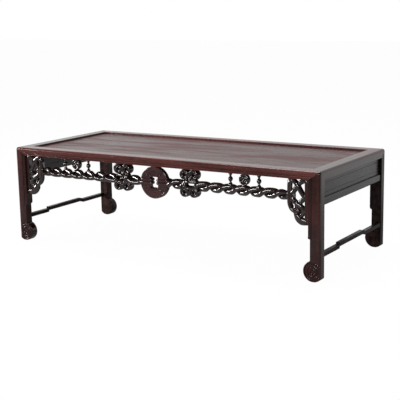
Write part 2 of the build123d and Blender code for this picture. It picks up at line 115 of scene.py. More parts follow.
# ---- settings ----
class RopeSettings(bpy.types.PropertyGroup):
    """Sizes of the twisted rope rail."""

    strand_rise: length("Strand rise", "Half the height of a strand where it is a lobe", 6.9)
    strand_depth: length("Strand depth", "Half the depth of a strand where it is a lobe", 8.0)
    strand_offset: length("Strand offset", "From the axis of the rope to each strand", 6.2)
    lobe: length("Lobe", "Length of one lobe of the rope", 37.2)
    lobe_place: length("Lobe place", "How far a lobe lies off the middle of the boss", -5.5)
    dwell: share("Dwell", "How long a strand stays at the top or the bottom", 0.22)
    end_share: share("End", "Size of the rope at the corner carving, to its full size", 0.72)
    end_length: length("End length", "Length over which the rope thins at its end", 26.0)
    step: length("Step", "Length of one step of the mesh along the rope", 1.0)


class KnotSettings(bpy.types.PropertyGroup):
    """Sizes of the four-loop knots."""

    loop_spread: length("Loop spread", "From the middle of the knot to each loop", 13.3)
    loop_radius: length("Loop radius", "Outer radius of a loop", 13.8)
    eye_radius: length("Eye radius", "Radius of the hole in a loop", 3.0)
    outer_cord: length("Outer cord", "Width of the outer cord of a loop", 6.8)
    loop_depth: length("Loop depth", "From front to back of a loop", 20.5)
    strand_width: length("Strand width", "Width of the two rope strands in the knot", 11.6)
    strand_part: length("Parting", "How far the strands part from the axis of the rope", 8.1)
    tie_width: length("Tie width", "Width of the strands that cross the middle", 8.0)
    voxel: length("Carving detail", "Size of the smallest form of the carving", 0.55)


class SpandrelSettings(bpy.types.PropertyGroup):
    """Sizes of the pierced corner carvings."""

    tube_width: length("Tube width", "Width of the outer tube", 12.0)
    tube_depth: length("Tube depth", "Depth of the outer tube", 15.5)
    strand_width: length("Strand width", "Width of the braided strands", 11.9)
    strand_depth: length("Strand depth", "Depth of the braided strands", 13.6)
    weave: length("Weave", "How far a strand rises or sinks where two cross", 1.7)
    edge_width: length("Edge width", "Width of the strip along the leg", 10.5)
    edge_depth: length("Edge depth", "Depth of the strip along the leg", 12.0)
    voxel: length("Carving detail", "Size of the smallest form of the carving", 0.55)


class DiscSettings(bpy.types.PropertyGroup):
    """Sizes of the pierced disc and the cords that bind it."""

    radius: length("Radius", "Outer radius of the disc", 41.0)
    thickness: length("Thickness", "Thickness of the disc", 13.4)
    hole_half: length("Hole", "Half the width of the hole", 11.8)
    hole_rise: length("Hole rise", "Half the height of the hole", 14.5)
    hole_corner: length("Hole corner", "Radius of the corners of the hole", 3.0)
    rim: length("Rim", "Width of the raised rim", 3.6)
    sink: length("Sink", "How far the field lies below the rim", 0.7)
    cord_width: length("Cord width", "Width of each of the two cords", 8.4)
    cord_rise: length("Cord rise", "How far the cords stand out of the face", 1.6)
    cord_bulge: length("Cord bulge", "How far the cords stand into the hole", 6.9)
    stud_radius: length("Stud radius", "Radius of the small studs", 2.4)
    stud_circle: length("Stud circle", "Radius of the circle of the studs", 27.5)


class TurningSettings(bpy.types.PropertyGroup):
    """Sizes of the turned struts and the round bosses."""

    flare: length("Flare", "Radius of a strut at its ends", 5.8)
    neck: length("Neck", "Radius of a strut at its necks", 2.6)
    bulb: length("Bulb", "Radius of a strut at its bulb", 5.95)
    boss: length("Boss", "Radius of the round boss", 14.0)
    collar: length("Collar", "Radius of the collar between a boss and the rope", 7.0)


class EdgeSettings(bpy.types.PropertyGroup):
    """Softened edges of the joinery."""

    arris: length("Arris", "Width of the softened edges", 0.7)
    board_arris: length("Board arris", "Width of the softened edges of boards", 0.5)


class FinishSettings(bpy.types.PropertyGroup):
    """Colours and gloss of the hardwood."""

    frame_dark: tint("Frame, dark", "Dark tone of the top frame", 0.050, 0.0130, 0.0110)
    frame_light: tint("Frame, light", "Warm tone of the top frame", 0.150, 0.0380, 0.0310)
    # the leg tones also dress the end members of the top frame, darker than the frame tone:
    # painted shade on the ends
    leg_dark: tint("Legs, dark", "Dark tone of the legs", 0.012, 0.0022, 0.0020)
    leg_light: tint("Legs, light", "Warm tone of the legs", 0.070, 0.0130, 0.0095)
    panel_dark: tint("Panel, dark", "Dark tone of the top panel", 0.034, 0.0060, 0.0060)
    panel_light: tint("Panel, light", "Light tone of the top panel", 0.090, 0.020, 0.019)
    # the board tones, darker and greyer than the frame's, are painted shade on the pieces at the
    # ends and back
    board_dark: tint("Boards, dark", "Dark tone of boards and rails", 0.006, 0.0040, 0.0037)
    board_light: tint("Boards, light", "Light tone of boards and rails", 0.018, 0.012, 0.011)
    carving_dark: tint("Carving, dark", "Dark tone of the rope carving", 0.006, 0.0032, 0.0032)
    carving_light: tint("Carving, light", "Light tone of the rope carving", 0.024, 0.0095, 0.0095)
    disc_dark: tint("Disc, dark", "Dark tone of the disc", 0.018, 0.0034, 0.0044)
    disc_light: tint("Disc, light", "Light tone of the disc", 0.062, 0.0130, 0.0170)
    inner_dark: tint("Hidden wood, dark", "Dark tone of battens and pins", 0.040, 0.020, 0.012)
    inner_light: tint("Hidden wood, light", "Light tone of battens and pins", 0.110, 0.060, 0.036)
    wax: tint("Worn wax", "Tone of rubbed edges", 0.120, 0.050, 0.042)
    frame_rough: share("Frame roughness", "Roughness of the frame, front legs and disc", 0.24)
    panel_rough: share("Panel roughness", "Roughness of the panel and plain wood", 0.37)
    board_rough: share("Board roughness", "Roughness of the boards and rails", 0.30)
    carving_rough: share("Carving roughness", "Roughness of the carving", 0.16)


class StageSettings(bpy.types.PropertyGroup):
    """Camera and lamps."""

    camera_place: FloatVectorProperty(
        name="Camera place", description="Where the camera stands",
        default=(1.3773, -2.1499, 0.6406), subtype="TRANSLATION", unit="LENGTH", size=3,
    )
    camera_azimuth: turn("Camera azimuth", "Turn of the view from square to the front", 32.39)
    camera_elevation: turn("Camera elevation", "How far the camera looks down", 11.577)
    camera_roll: turn("Camera roll", "Tilt of the picture", -1.175)
    camera_lens: FloatProperty(
        name="Camera lens", description="Focal length", default=86.986, unit="CAMERA",
    )
    key_power: FloatProperty(name="Key", description="Power of the lamp at the left", default=52)
    top_power: FloatProperty(name="Top", description="Power of the lamp above", default=45)
    face_power: FloatProperty(
        name="Face", description="Power of the low lamp in front", default=28,
    )
    fill: share("Fill", "Level of the light from all round", 0.12)


# ---- mesh helpers ----
def ease(t):
    """Soft step from 0 to 1."""
    t = min(1.0, max(0.0, t))
    return t * t * (3 - 2 * t)


def circle(count):
    """Angle, cosine and sine at equal steps once round."""
    for k in range(count):
        angle = 2 * math.pi * k / count
        yield angle, math.cos(angle), math.sin(angle)


def smooth_run(points, closed=False, steps=8):
    """Points along a smooth curve through the given ones."""
    count = len(points)
    spans = count if closed else count - 1
    run = []
    for i in range(spans):
        if closed:
            p = [points[(i + k) % count] for k in (-1, 0, 1, 2)]
        else:
            p = [points[min(max(i + k, 0), count - 1)] for k in (-1, 0, 1, 2)]
        for step in range(steps):
            t = step / steps
            run.append(
                0.5 * (
                    2 * p[1]
                    + (p[2] - p[0]) * t
                    + (2 * p[0] - 5 * p[1] + 4 * p[2] - p[3]) * t**2
                    + (3 * p[1] - p[0] - 3 * p[2] + p[3]) * t**3
                )
            )
    if not closed:
        run.append(points[-1].copy())
    return run


def add_rings(bm, rings, closed=False):
    """Skins a run of equal rings of points; the ends are capped unless the run is closed."""
    made = [[bm.verts.new(point) for point in ring] for ring in rings]
    sides = len(made[0])
    spans = len(made) if closed else len(made) - 1
    for i in range(spans):
        one, two = made[i], made[(i + 1) % len(made)]
        for k in range(sides):
            j = (k + 1) % sides
            bm.faces.new((one[k], one[j], two[j], two[k]))
    if not closed:
        bm.faces.new(reversed(made[0]))
        bm.faces.new(made[-1])


def add_tube(bm, route, width, depth, closed=False, sides=16, full=1.0, across=ACROSS):
    """Tube along a route whose depth lies along the direction across.

    The section is an oval at full = 1 and grows towards a block below that.
    """
    count = len(route)
    rings = []
    for i, point in enumerate(route):
        before = route[i - 1] if closed or i else point
        after = route[(i + 1) % count] if closed or i < count - 1 else point
        along = (after - before).normalized()
        beside = across.cross(along).normalized()
        out = along.cross(beside)
        ring = []
        for _, c, s in circle(sides):
            c, s = math.copysign(abs(c) ** full, c), math.copysign(abs(s) ** full, s)
            ring.append(point + beside * c * width / 2 + out * s * depth / 2)
        rings.append(ring)
    add_rings(bm, rings, closed)


def add_lathe(bm, profile, origin, axis, sides):
    """Turned solid: profile is a run of (radius, height along the axis), ends on the axis."""
    axis = axis.normalized()
    side = axis.orthogonal().normalized()
    other = axis.cross(side)
    add_rings(bm, [
        [origin + axis * height + (side * c + other * s) * radius for _, c, s in circle(sides)]
        for radius, height in profile
    ])


def add_block(bm, low, high):
    """Plain closed block, for carvings that are fused afterwards."""
    place = Matrix.Translation((low + high) / 2)
    size = Matrix.Diagonal((*(high - low), 1))
    bmesh.ops.create_cube(bm, size=1, matrix=place @ size)


def add_torus(bm, centre, radius, width, depth, full=1.0):
    """Ring of oval section that lies in the plane of the front."""
    route = [centre + Vector((c, 0, s)) * radius for _, c, s in circle(48)]
    add_tube(bm, route, width, depth, closed=True, sides=20, full=full)


def to_mesh(name, bm):
    """Mesh with outward faces from the built geometry."""
    bmesh.ops.recalc_face_normals(bm, faces=bm.faces)
    mesh = bpy.data.meshes.new(name)
    bm.to_mesh(mesh)
    bm.free()
    return mesh


def baked(obj):
    """Mesh of an object with its modifiers applied."""
    graph = bpy.context.evaluated_depsgraph_get()
    return bpy.data.meshes.new_from_object(obj.evaluated_get(graph))


def fused(name, bm, voxel):
    """One closed carved surface out of overlapping closed forms."""
    rough = to_mesh(name + "_forms", bm)
    obj = bpy.data.objects.new(name + "_forms", rough)
    bpy.context.scene.collection.objects.link(obj)
    remesh = obj.modifiers.new("Fuse", "REMESH")
    remesh.mode = "VOXEL"
    remesh.voxel_size = voxel
    relax = obj.modifiers.new("Relax", "SMOOTH")
    relax.factor = 0.5
    relax.iterations = 4
    mesh = baked(obj)
    mesh.name = name
    bpy.data.objects.remove(obj)
    bpy.data.meshes.remove(rough)
    return mesh


def place_piece(mesh, nodes, material, crease=None):
    """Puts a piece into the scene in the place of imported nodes."""
    obj = bpy.data.objects.new(mesh.name, mesh)
    bpy.context.scene.collection.objects.link(obj)
    mesh.shade_smooth()
    if crease is not None:
        mesh.set_sharp_from_angle(angle=crease)
    mesh.materials.append(material)
    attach(obj, BODY)
    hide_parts(*nodes)
    return obj


def mirrored(mesh, name):
    """Mirror image of a mesh on the other side of the middle."""
    copy = mesh.copy()
    copy.name = name
    copy.transform(Matrix.Diagonal((-1, 1, 1, 1)))
    copy.flip_normals()
    return copy


def place_pair(mesh, stem, material, crease=None):
    """Puts a carving on the right and its mirror image on the left; returns both pieces."""
    left = mirrored(mesh, stem + "_left_carved")
    return [
        place_piece(made, [f"{stem}_{side}"], material, crease)
        for side, made in (("right", mesh), ("left", left))
    ]


# ---- shader helpers ----
def add_node(tree, kind, values=None, **settings):
    """Shader node with its settings and the values or links of its inputs."""
    node = tree.nodes.new(kind)
    for key, value in settings.items():
        setattr(node, key, value)
    for key, value in (values or {}).items():
        if isinstance(value, bpy.types.NodeSocket):
            tree.links.new(value, node.inputs[key])
        else:
            node.inputs[key].default_value = value
    return node


def add_maths(tree, operation, first, second=0.0):
    """Result of one calculation."""
    return add_node(tree, "ShaderNodeMath", {0: first, 1: second}, operation=operation).outputs[0]


def add_sum(tree, base, *terms):
    """Base plus each term's value times its weight."""
    for value, weight in terms:
        base = add_maths(tree, "ADD", base, add_maths(tree, "MULTIPLY", value, weight))
    return base


def empty_tree(owner):
    """Node tree of a new material or world, without its first nodes."""
    owner.use_nodes = True
    owner.node_tree.nodes.clear()
    return owner.node_tree


def add_ramp(tree, value, low, high):
    """Value stretched so that low becomes 0 and high becomes 1, with a soft start and end."""
    inputs = {"Value": value, "From Min": low, "From Max": high}
    node = add_node(tree, "ShaderNodeMapRange", inputs, interpolation_type="SMOOTHSTEP")
    return node.outputs["Result"]


def add_mix(tree, factor, first, second):
    """Mix of two colours."""
    node = add_node(tree, "ShaderNodeMix", {"Factor": factor}, data_type="RGBA")
    for socket, value in ((node.inputs[6], first), (node.inputs[7], second)):
        if isinstance(value, bpy.types.NodeSocket):
            tree.links.new(value, socket)
        else:
            socket.default_value = (*value[:3], 1)
    return node.outputs[2]


def new_group(name, inputs, outputs):
    """Shader node group with named sockets; returns the tree and its two end nodes."""
    tree = bpy.data.node_groups.new(name, "ShaderNodeTree")
    for label, kind, default in inputs:
        socket = tree.interface.new_socket(label, in_out="INPUT", socket_type=kind)
        if default is not None:
            socket.default_value = default
    for label, kind in outputs:
        tree.interface.new_socket(label, in_out="OUTPUT", socket_type=kind)
    start = tree.nodes.new("NodeGroupInput")
    end = tree.nodes.new("NodeGroupOutput")
    return tree, start.outputs, end.inputs


FLOAT, COLOUR, VECTOR = "NodeSocketFloat", "NodeSocketColor", "NodeSocketVector"


def stretched_noise(tree, coords, along, beside, detail, distortion=0.0):
    """Noise whose features run along X; along and beside are features per metre."""
    scale = add_node(
        tree, "ShaderNodeVectorMath", {0: coords, 1: (along, beside, beside)},
        operation="MULTIPLY",
    )
    noise = add_node(
        tree, "ShaderNodeTexNoise",
        {"Vector": scale.outputs[0], "Scale": 1.0, "Detail": detail, "Distortion": distortion},
    )
    return noise.outputs["Fac"]


def grain_group():
    """Hardwood grain along X: colour, how dull the surface is, and height."""
    tree, given, result = new_group(
        "Hardwood grain",
        [
            ("Vector", VECTOR, None),
            ("Dark", COLOUR, (0.03, 0.01, 0.01, 1)),
            ("Light", COLOUR, (0.12, 0.05, 0.04, 1)),
            ("Figure", FLOAT, 0.6),
            ("Pores", FLOAT, 0.5),
        ],
        [("Color", COLOUR), ("Dullness", FLOAT), ("Height", FLOAT)],
    )
    coords = given["Vector"]
    # features per metre along and beside the grain, detail, distortion
    clouds = stretched_noise(tree, coords, 4.0, 22.0, 2.0, 0.6)
    bands = stretched_noise(tree, coords, 3.5, 130.0, 4.0, 0.35)
    streaks = stretched_noise(tree, coords, 14.0, 620.0, 3.0)
    fibres = stretched_noise(tree, coords, 70.0, 2600.0, 2.0)
    patch = add_ramp(tree, clouds, 0.42, 0.68)
    band = add_ramp(tree, bands, 0.36, 0.66)
    streak = add_ramp(tree, streaks, 0.40, 0.70)
    tone = add_sum(tree, 0.0, (band, 0.45), (patch, 0.6), (streak, 0.22))
    tone = add_maths(tree, "MULTIPLY", tone, given["Figure"])
    tone = add_node(tree, "ShaderNodeClamp", {"Value": tone}).outputs[0]
    wood = add_mix(tree, tone, given["Dark"], given["Light"])
    pore = add_maths(tree, "MULTIPLY", add_ramp(tree, fibres, 0.58, 0.74), given["Pores"])
    pore_tone = (0.004, 0.002, 0.002)
    wood = add_mix(tree, add_maths(tree, "MULTIPLY", pore, 0.7), wood, pore_tone)
    tree.links.new(wood, result["Color"])
    dull = add_sum(tree, -0.75, (streak, 0.5), (pore, 0.6), (patch, 1.0))       # about zero
    tree.links.new(dull, result["Dullness"])
    height = add_sum(tree, 0.0, (streak, 0.35), (pore, -1.0))
    tree.links.new(height, result["Height"])
    return tree


def wear_and_shade_group():
    """Masks of rubbed edges, broken up by noise, and of painted shade in hollows."""
    tree, given, result = new_group(
        "Rubbed edges and hollows",
        [
            ("Vector", VECTOR, None),
            ("Edge width", FLOAT, 0.0025),
            ("Hollow size", FLOAT, 0.010),
        ],
        [("Edges", FLOAT), ("Hollows", FLOAT)],
    )
    within = add_node(
        tree, "ShaderNodeAmbientOcclusion", {"Distance": given["Edge width"]},
        samples=6, inside=True, only_local=True,
    )
    # ambient occlusion round each point; the hollow mask made from it is painted shade in creases
    # and recesses
    around = add_node(
        tree, "ShaderNodeAmbientOcclusion", {"Distance": given["Hollow size"]}, samples=6,
    )
    broken = add_ramp(tree, stretched_noise(tree, given["Vector"], 90, 90, 3.0), 0.35, 0.65)
    edge = add_ramp(tree, within.outputs["AO"], 0.72, 0.98)
    edge = add_maths(tree, "MULTIPLY", edge, broken)
    tree.links.new(edge, result["Edges"])
    hollow_shade_mask = add_maths(tree, "SUBTRACT", 1.0, add_ramp(tree, around.outputs["AO"], 0.25, 0.85))
    tree.links.new(hollow_shade_mask, result["Hollows"])
    return tree


# How strongly each finish shows its grain, rubbed edges and painted shade in hollows, and how
# it shines. The tone and the roughness are the finish settings of that name; a look has its own
# tone unless it says.
COMMON_LOOK = {
    "figure": 0.8, "pores": 0.5, "wear": 0.2, "hollow_shade": 0.7, "bump": 0.4,
    "hollow_shade_tone": (0.003, 0.0015, 0.0015), "rough": "frame_rough", "gloss_change": 0.08,
    "coat": 0.0, "coat_rough": 0.2,
}
LOOKS = {
    "frame": {"figure": 0.85, "specular": 0.38, "coat": 0.25, "coat_rough": 0.10},
    # painted shade: the end members of the top frame take the darker leg tone instead of the
    # frame tone
    "end": {"tone": "leg", "figure": 0.85, "specular": 0.44, "coat": 0.2, "coat_rough": 0.10},
    "leg": {
        "figure": 0.75, "wear": 0.12, "hollow_shade": 0.9, "specular": 0.40,
        "coat": 0.25, "coat_rough": 0.08,
    },
    "panel": {
        "pores": 0.6, "wear": 0.1, "hollow_shade": 0.3, "hollow_shade_tone": (0.004, 0.002, 0.002),
        "rough": "panel_rough", "gloss_change": 0.18, "specular": 0.28,
    },
    # painted shade: the board tone is darker and greyer than the frame tone, for the ends and
    # back
    "board": {
        "wear": 0.15, "hollow_shade": 0.4, "hollow_shade_tone": (0.002, 0.0015, 0.0015),
        "rough": "board_rough", "specular": 0.5,
    },
    # painted shade: a darker copy in the board tone, for the rear legs and end stretchers
    "plain": {
        "tone": "board", "wear": 0.3, "hollow_shade": 0.4, "hollow_shade_tone": (0.002, 0.0015, 0.0015),
        "rough": "panel_rough", "gloss_change": 0.45, "specular": 0.13,
    },
    "carving": {
        "figure": 0.6, "pores": 0.1, "hollow_shade": 0.9, "bump": 0.15,
        "hollow_shade_tone": (0.001, 0.0006, 0.0006), "rough": "carving_rough",
        "gloss_change": 0.05, "specular": 0.65, "coat": 0.8, "coat_rough": 0.08,
    },
    "disc": {
        "pores": 0.3, "hollow_shade": 0.6, "bump": 0.3, "specular": 0.5,
        "coat": 0.8, "coat_rough": 0.08,
    },
    "inner": {
        "figure": 0.9, "pores": 0.7, "wear": 0.0, "hollow_shade": 0.5, "bump": 0.8,
        "hollow_shade_tone": (0.010, 0.006, 0.005), "rough": "panel_rough", "gloss_change": 0.10,
        "specular": 0.3, "coat_rough": 0.3,
    },
}
# turn that lays the grain along each axis
GRAIN_TURNS = {
    "X": (0.0, 0.0, 0.0),
    "Y": (0.0, 0.0, -math.pi / 2),
    "Z": (0.0, math.pi / 2, 0.0),
}


def hardwood(finish, axis):
    """Material of one finish with its grain along one axis; made once."""
    name = f"{finish}_wood_{axis}"
    if name in bpy.data.materials:
        return bpy.data.materials[name]
    look = {**COMMON_LOOK, **LOOKS[finish]}
    tones = bpy.context.scene.kang_finish
    material = bpy.data.materials.new(name)
    tree = empty_tree(material)
    place = add_node(tree, "ShaderNodeTexCoord").outputs["Object"]
    turned = add_node(
        tree, "ShaderNodeMapping", {"Vector": place, "Rotation": GRAIN_TURNS[axis]},
    ).outputs[0]
    grain = add_node(
        tree, "ShaderNodeGroup",
        node_tree=bpy.data.node_groups.get("Hardwood grain") or grain_group(),
    )
    tree.links.new(turned, grain.inputs["Vector"])
    tone = look.get("tone", finish)
    grain.inputs["Dark"].default_value = (*getattr(tones, tone + "_dark"), 1)
    grain.inputs["Light"].default_value = (*getattr(tones, tone + "_light"), 1)
    grain.inputs["Figure"].default_value = look["figure"]
    grain.inputs["Pores"].default_value = look["pores"]
    wear = add_node(
        tree, "ShaderNodeGroup",
        node_tree=bpy.data.node_groups.get("Rubbed edges and hollows") or wear_and_shade_group(),
    )
    tree.links.new(place, wear.inputs["Vector"])
    # the edge mask is rubbed wear; the hollow mask is painted shade
    edge = add_maths(tree, "MULTIPLY", wear.outputs["Edges"], look["wear"])
    hollow_shade_mask = add_maths(tree, "MULTIPLY", wear.outputs["Hollows"], look["hollow_shade"])
    colour = add_mix(tree, edge, grain.outputs["Color"], tones.wax)
    # painted shade: the colour darkens towards the hollow tone in creases and recesses
    colour = add_mix(tree, hollow_shade_mask, colour, look["hollow_shade_tone"])
    duller_hollow, glossier_edge = 0.35, -0.08
    rough = add_sum(
        tree, getattr(tones, look["rough"]), (grain.outputs["Dullness"], look["gloss_change"]),
        (hollow_shade_mask, duller_hollow), (edge, glossier_edge),
    )
    rough = add_node(tree, "ShaderNodeClamp", {"Value": rough, "Min": 0.08, "Max": 0.9})
    bump = add_node(
        tree, "ShaderNodeBump",
        {"Height": grain.outputs["Height"], "Strength": look["bump"], "Distance": 0.0002},
    )
    shader = add_node(
        tree, "ShaderNodeBsdfPrincipled",
        {
            "Base Color": colour, "Roughness": rough.outputs[0], "Normal": bump.outputs[0],
            "Specular IOR Level": look["specular"], "Coat Weight": look["coat"],
            "Coat Roughness": look["coat_rough"],
        },
    )
    out = add_node(tree, "ShaderNodeOutputMaterial")
    tree.links.new(shader.outputs[0], out.inputs["Surface"])
    return material


# ---- joinery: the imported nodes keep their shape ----
def dress(node, finish, axis, arris=0.0):
    """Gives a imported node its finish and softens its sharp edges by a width."""
    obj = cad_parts[node]
    for slot in obj.material_slots:
        slot.material = hardwood(finish, axis)
    if arris:
        weld = obj.modifiers.new("Weld", "WELD")
        weld.merge_threshold = 0.01 * MM
        bevel = obj.modifiers.new("Arris", "BEVEL")
        bevel.width = arris
        bevel.segments = 2
        bevel.limit_method = "ANGLE"
        bevel.angle_limit = math.radians(40)
        bevel.harden_normals = True


class KANG_OT_frame(bpy.types.Operator):
    """Finish the top frame and the four legs"""

    bl_idname = "kang.frame"
    bl_label = "Frame and legs"

    def execute(self, context):
        for place in ("front", "rear"):
            dress("top_frame_" + place, "frame", "X")
        for side in ("left", "right"):
            # painted shade: the end members take the darker tone of the end look
            dress("top_frame_" + side, "end", "Y")
            dress("leg_front_" + side, "leg", "Z")
            # painted shade: the rear legs take the darker plain look, not the leg look
            dress("leg_rear_" + side, "plain", "Z")
        return {"FINISHED"}


class KANG_OT_boards(bpy.types.Operator):
    """Finish the top panel, the end and rear boards, the rails, stretchers and battens"""

    bl_idname = "kang.boards"
    bl_label = "Panel, boards and rails"

    def execute(self, context):
        edges = context.scene.kang_edges
        dress("top_panel", "panel", "X")
        # painted shade: the back board and rail take the darker board tone
        for name in ("rear_panel", "rear_rail"):
            dress(name, "board", "X", edges.board_arris)
        for side in ("left", "right"):
            # painted shade: the end boards and rails take the darker board tone
            dress("end_panel_" + side, "board", "Y")
            dress("end_rail_" + side, "board", "Y")
            # painted shade: the end stretchers take the darker plain look
            dress("end_stretcher_" + side, "plain", "Y", edges.arris)
        for place in ("left", "middle", "right"):
            dress("batten_" + place, "inner", "Y")
        dress("frame_pins", "inner", "Z")
        return {"FINISHED"}


# ---- rope ----
def rope_phase(x, sizes):
    """Turn of the two strands at a distance from the middle, on the right."""
    even = math.pi * (x - boss_x - sizes.lobe_place) / sizes.lobe
    return even - sizes.dwell * math.sin(2 * even)


def rope_mesh(name, sizes, x0, x1):
    """Two twisted strands carved as one rod between two places on the right."""
    count = max(2, round((x1 - x0) / sizes.step))
    sides = 56
    end_drop = 6 * MM       # how far the axis would sink if the rope thinned to nothing
    rise, depth, offset = sizes.strand_rise, sizes.strand_depth, sizes.strand_offset
    rings = []
    for i in range(count + 1):
        x = x0 + (x1 - x0) * i / count
        phase = rope_phase(x, sizes)
        size = 1 - (1 - sizes.end_share) * ease(1 - (rope_end - x) / sizes.end_length)
        axis_z = rope_axis.z - (1 - size) * end_drop
        ring = []
        for angle, c, s in circle(sides):
            shape = (c / rise) ** 2 + (s / depth) ** 2
            lean = abs(c) * offset / rise**2
            inside = max(0.0, lean**2 - shape * ((offset / rise) ** 2 - 1))
            reach = size * (lean + math.sqrt(inside)) / shape
            y = rope_axis.y + reach * math.sin(angle + phase)
            z = axis_z + reach * math.cos(angle + phase)
            ring.append(Vector((x, y, z)))
        rings.append(ring)
    bm = bmesh.new()
    add_rings(bm, rings)
    return to_mesh(name, bm)


class KANG_OT_rope(bpy.types.Operator):
    """Carve the twisted rope rail in four lengths"""

    bl_idname = "kang.rope"
    bl_label = "Rope rail"

    def execute(self, context):
        sizes = context.scene.kang_rope
        for part in ("rope_outer", "rope_inner"):
            low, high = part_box(part + "_right")
            mesh = rope_mesh(part + "_right_carved", sizes, low.x, high.x)
            place_pair(mesh, part, hardwood("carving", "X"), crease=math.radians(50))
        return {"FINISHED"}


# ---- knots ----
def knot_mesh(name, sizes, rope):
    """Knot of four loops on the parted strands of the rope, on the right."""
    low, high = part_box("knot_right")
    centre = middle("knot_right")
    radius, outer, depth = sizes.loop_radius, sizes.outer_cord, sizes.loop_depth
    inner = radius - sizes.eye_radius - 0.86 * outer        # the two cords of a loop overlap
    bm = bmesh.new()
    for x in (-sizes.loop_spread, sizes.loop_spread):
        for z in (high.z - radius, low.z + radius):
            place = Vector((centre.x + x, rope_axis.y, z))
            add_torus(bm, place, radius - outer / 2, outer, depth, full=0.65)
            add_torus(bm, place, sizes.eye_radius + inner / 2, inner, 0.84 * depth)
    start, end = rope_phase(low.x, rope), rope_phase(high.x, rope)
    level = math.pi * round((start + end) / 2 / math.pi)
    steps = 48
    parted, joined = 0.44, 0.76     # where along the knot the strands lie level
    lift, flat = 1.6 * MM, 0.8      # they rise a little and part less in depth than in height
    for strand in (0, math.pi):
        route = []
        for i in range(steps + 1):
            t = i / steps
            x = low.x + (high.x - low.x) * t
            before, after = ease(t / parted), ease((t - joined) / (1 - joined))
            phase = start + (level - start) * before + (end - level) * after + strand
            swell = before * (1 - after)
            offset = rope.strand_offset + (sizes.strand_part - rope.strand_offset) * swell
            route.append(
                Vector((
                    x, rope_axis.y + flat * offset * math.sin(phase),
                    rope_axis.z + lift * swell + offset * math.cos(phase),
                ))
            )
        add_tube(bm, route, sizes.strand_width, sizes.strand_width)
    tie_origin = Vector((centre.x, rope_axis.y, rope_axis.z))
    # strands that cross the middle, in millimetres from it; those at the back are turned round
    ties = (
        ((-17, 1, 17), (-14.5, -5, 11), (-11, -8, 3), (-8, -7, -5), (-5, -3, -13)),
        ((19, -2, 10), (8, -6, 10), (-2, -7.5, 10), (-12, -5.5, 7), (-22, -4, 1)),
        ((-16, -3, -11), (-4, -6, -7.5), (7, -6.5, -6), (17, -4, -9)),
        ((0, -3, 9), (0, -4, 14), (0, -3, 19)),
    )
    for side in (1, -1):
        for tie in ties:
            route = [
                Vector((side * x * MM, side * y * MM, z * MM)) + tie_origin for x, y, z in tie
            ]
            add_tube(bm, smooth_run(route), sizes.tie_width, sizes.tie_width)
    return fused(name, bm, sizes.voxel)


class KANG_OT_knots(bpy.types.Operator):
    """Carve the two four-loop knots"""

    bl_idname = "kang.knots"
    bl_label = "Knots"

    def execute(self, context):
        mesh = knot_mesh("knot_right_carved", context.scene.kang_knot, context.scene.kang_rope)
        place_pair(mesh, "knot", hardwood("carving", "X"))
        return {"FINISHED"}


# ---- disc ----
DISC_SETBACK = 2 * MM           # from the front of the top frame back to the face of the disc
CORD_LIFT = 2.4 * MM            # the cords lie a little above the middle of the disc
STUD_PLACES = (45, 90, 135, 225, 270, 315)      # degrees round the disc


def hole_reach(angle, half, rise, corner):
    """Distance from the middle to the edge of an upright opening with rounded corners."""
    c, s = abs(math.cos(angle)), abs(math.sin(angle))
    reach = min(half / max(c, 1e-6), rise / max(s, 1e-6))
    inner_x, inner_z = half - corner, rise - corner
    if reach * c > inner_x and reach * s > inner_z:
        across = c * inner_x + s * inner_z
        reach = across + math.sqrt(max(0.0, across**2 - inner_x**2 - inner_z**2 + corner**2))
    return reach


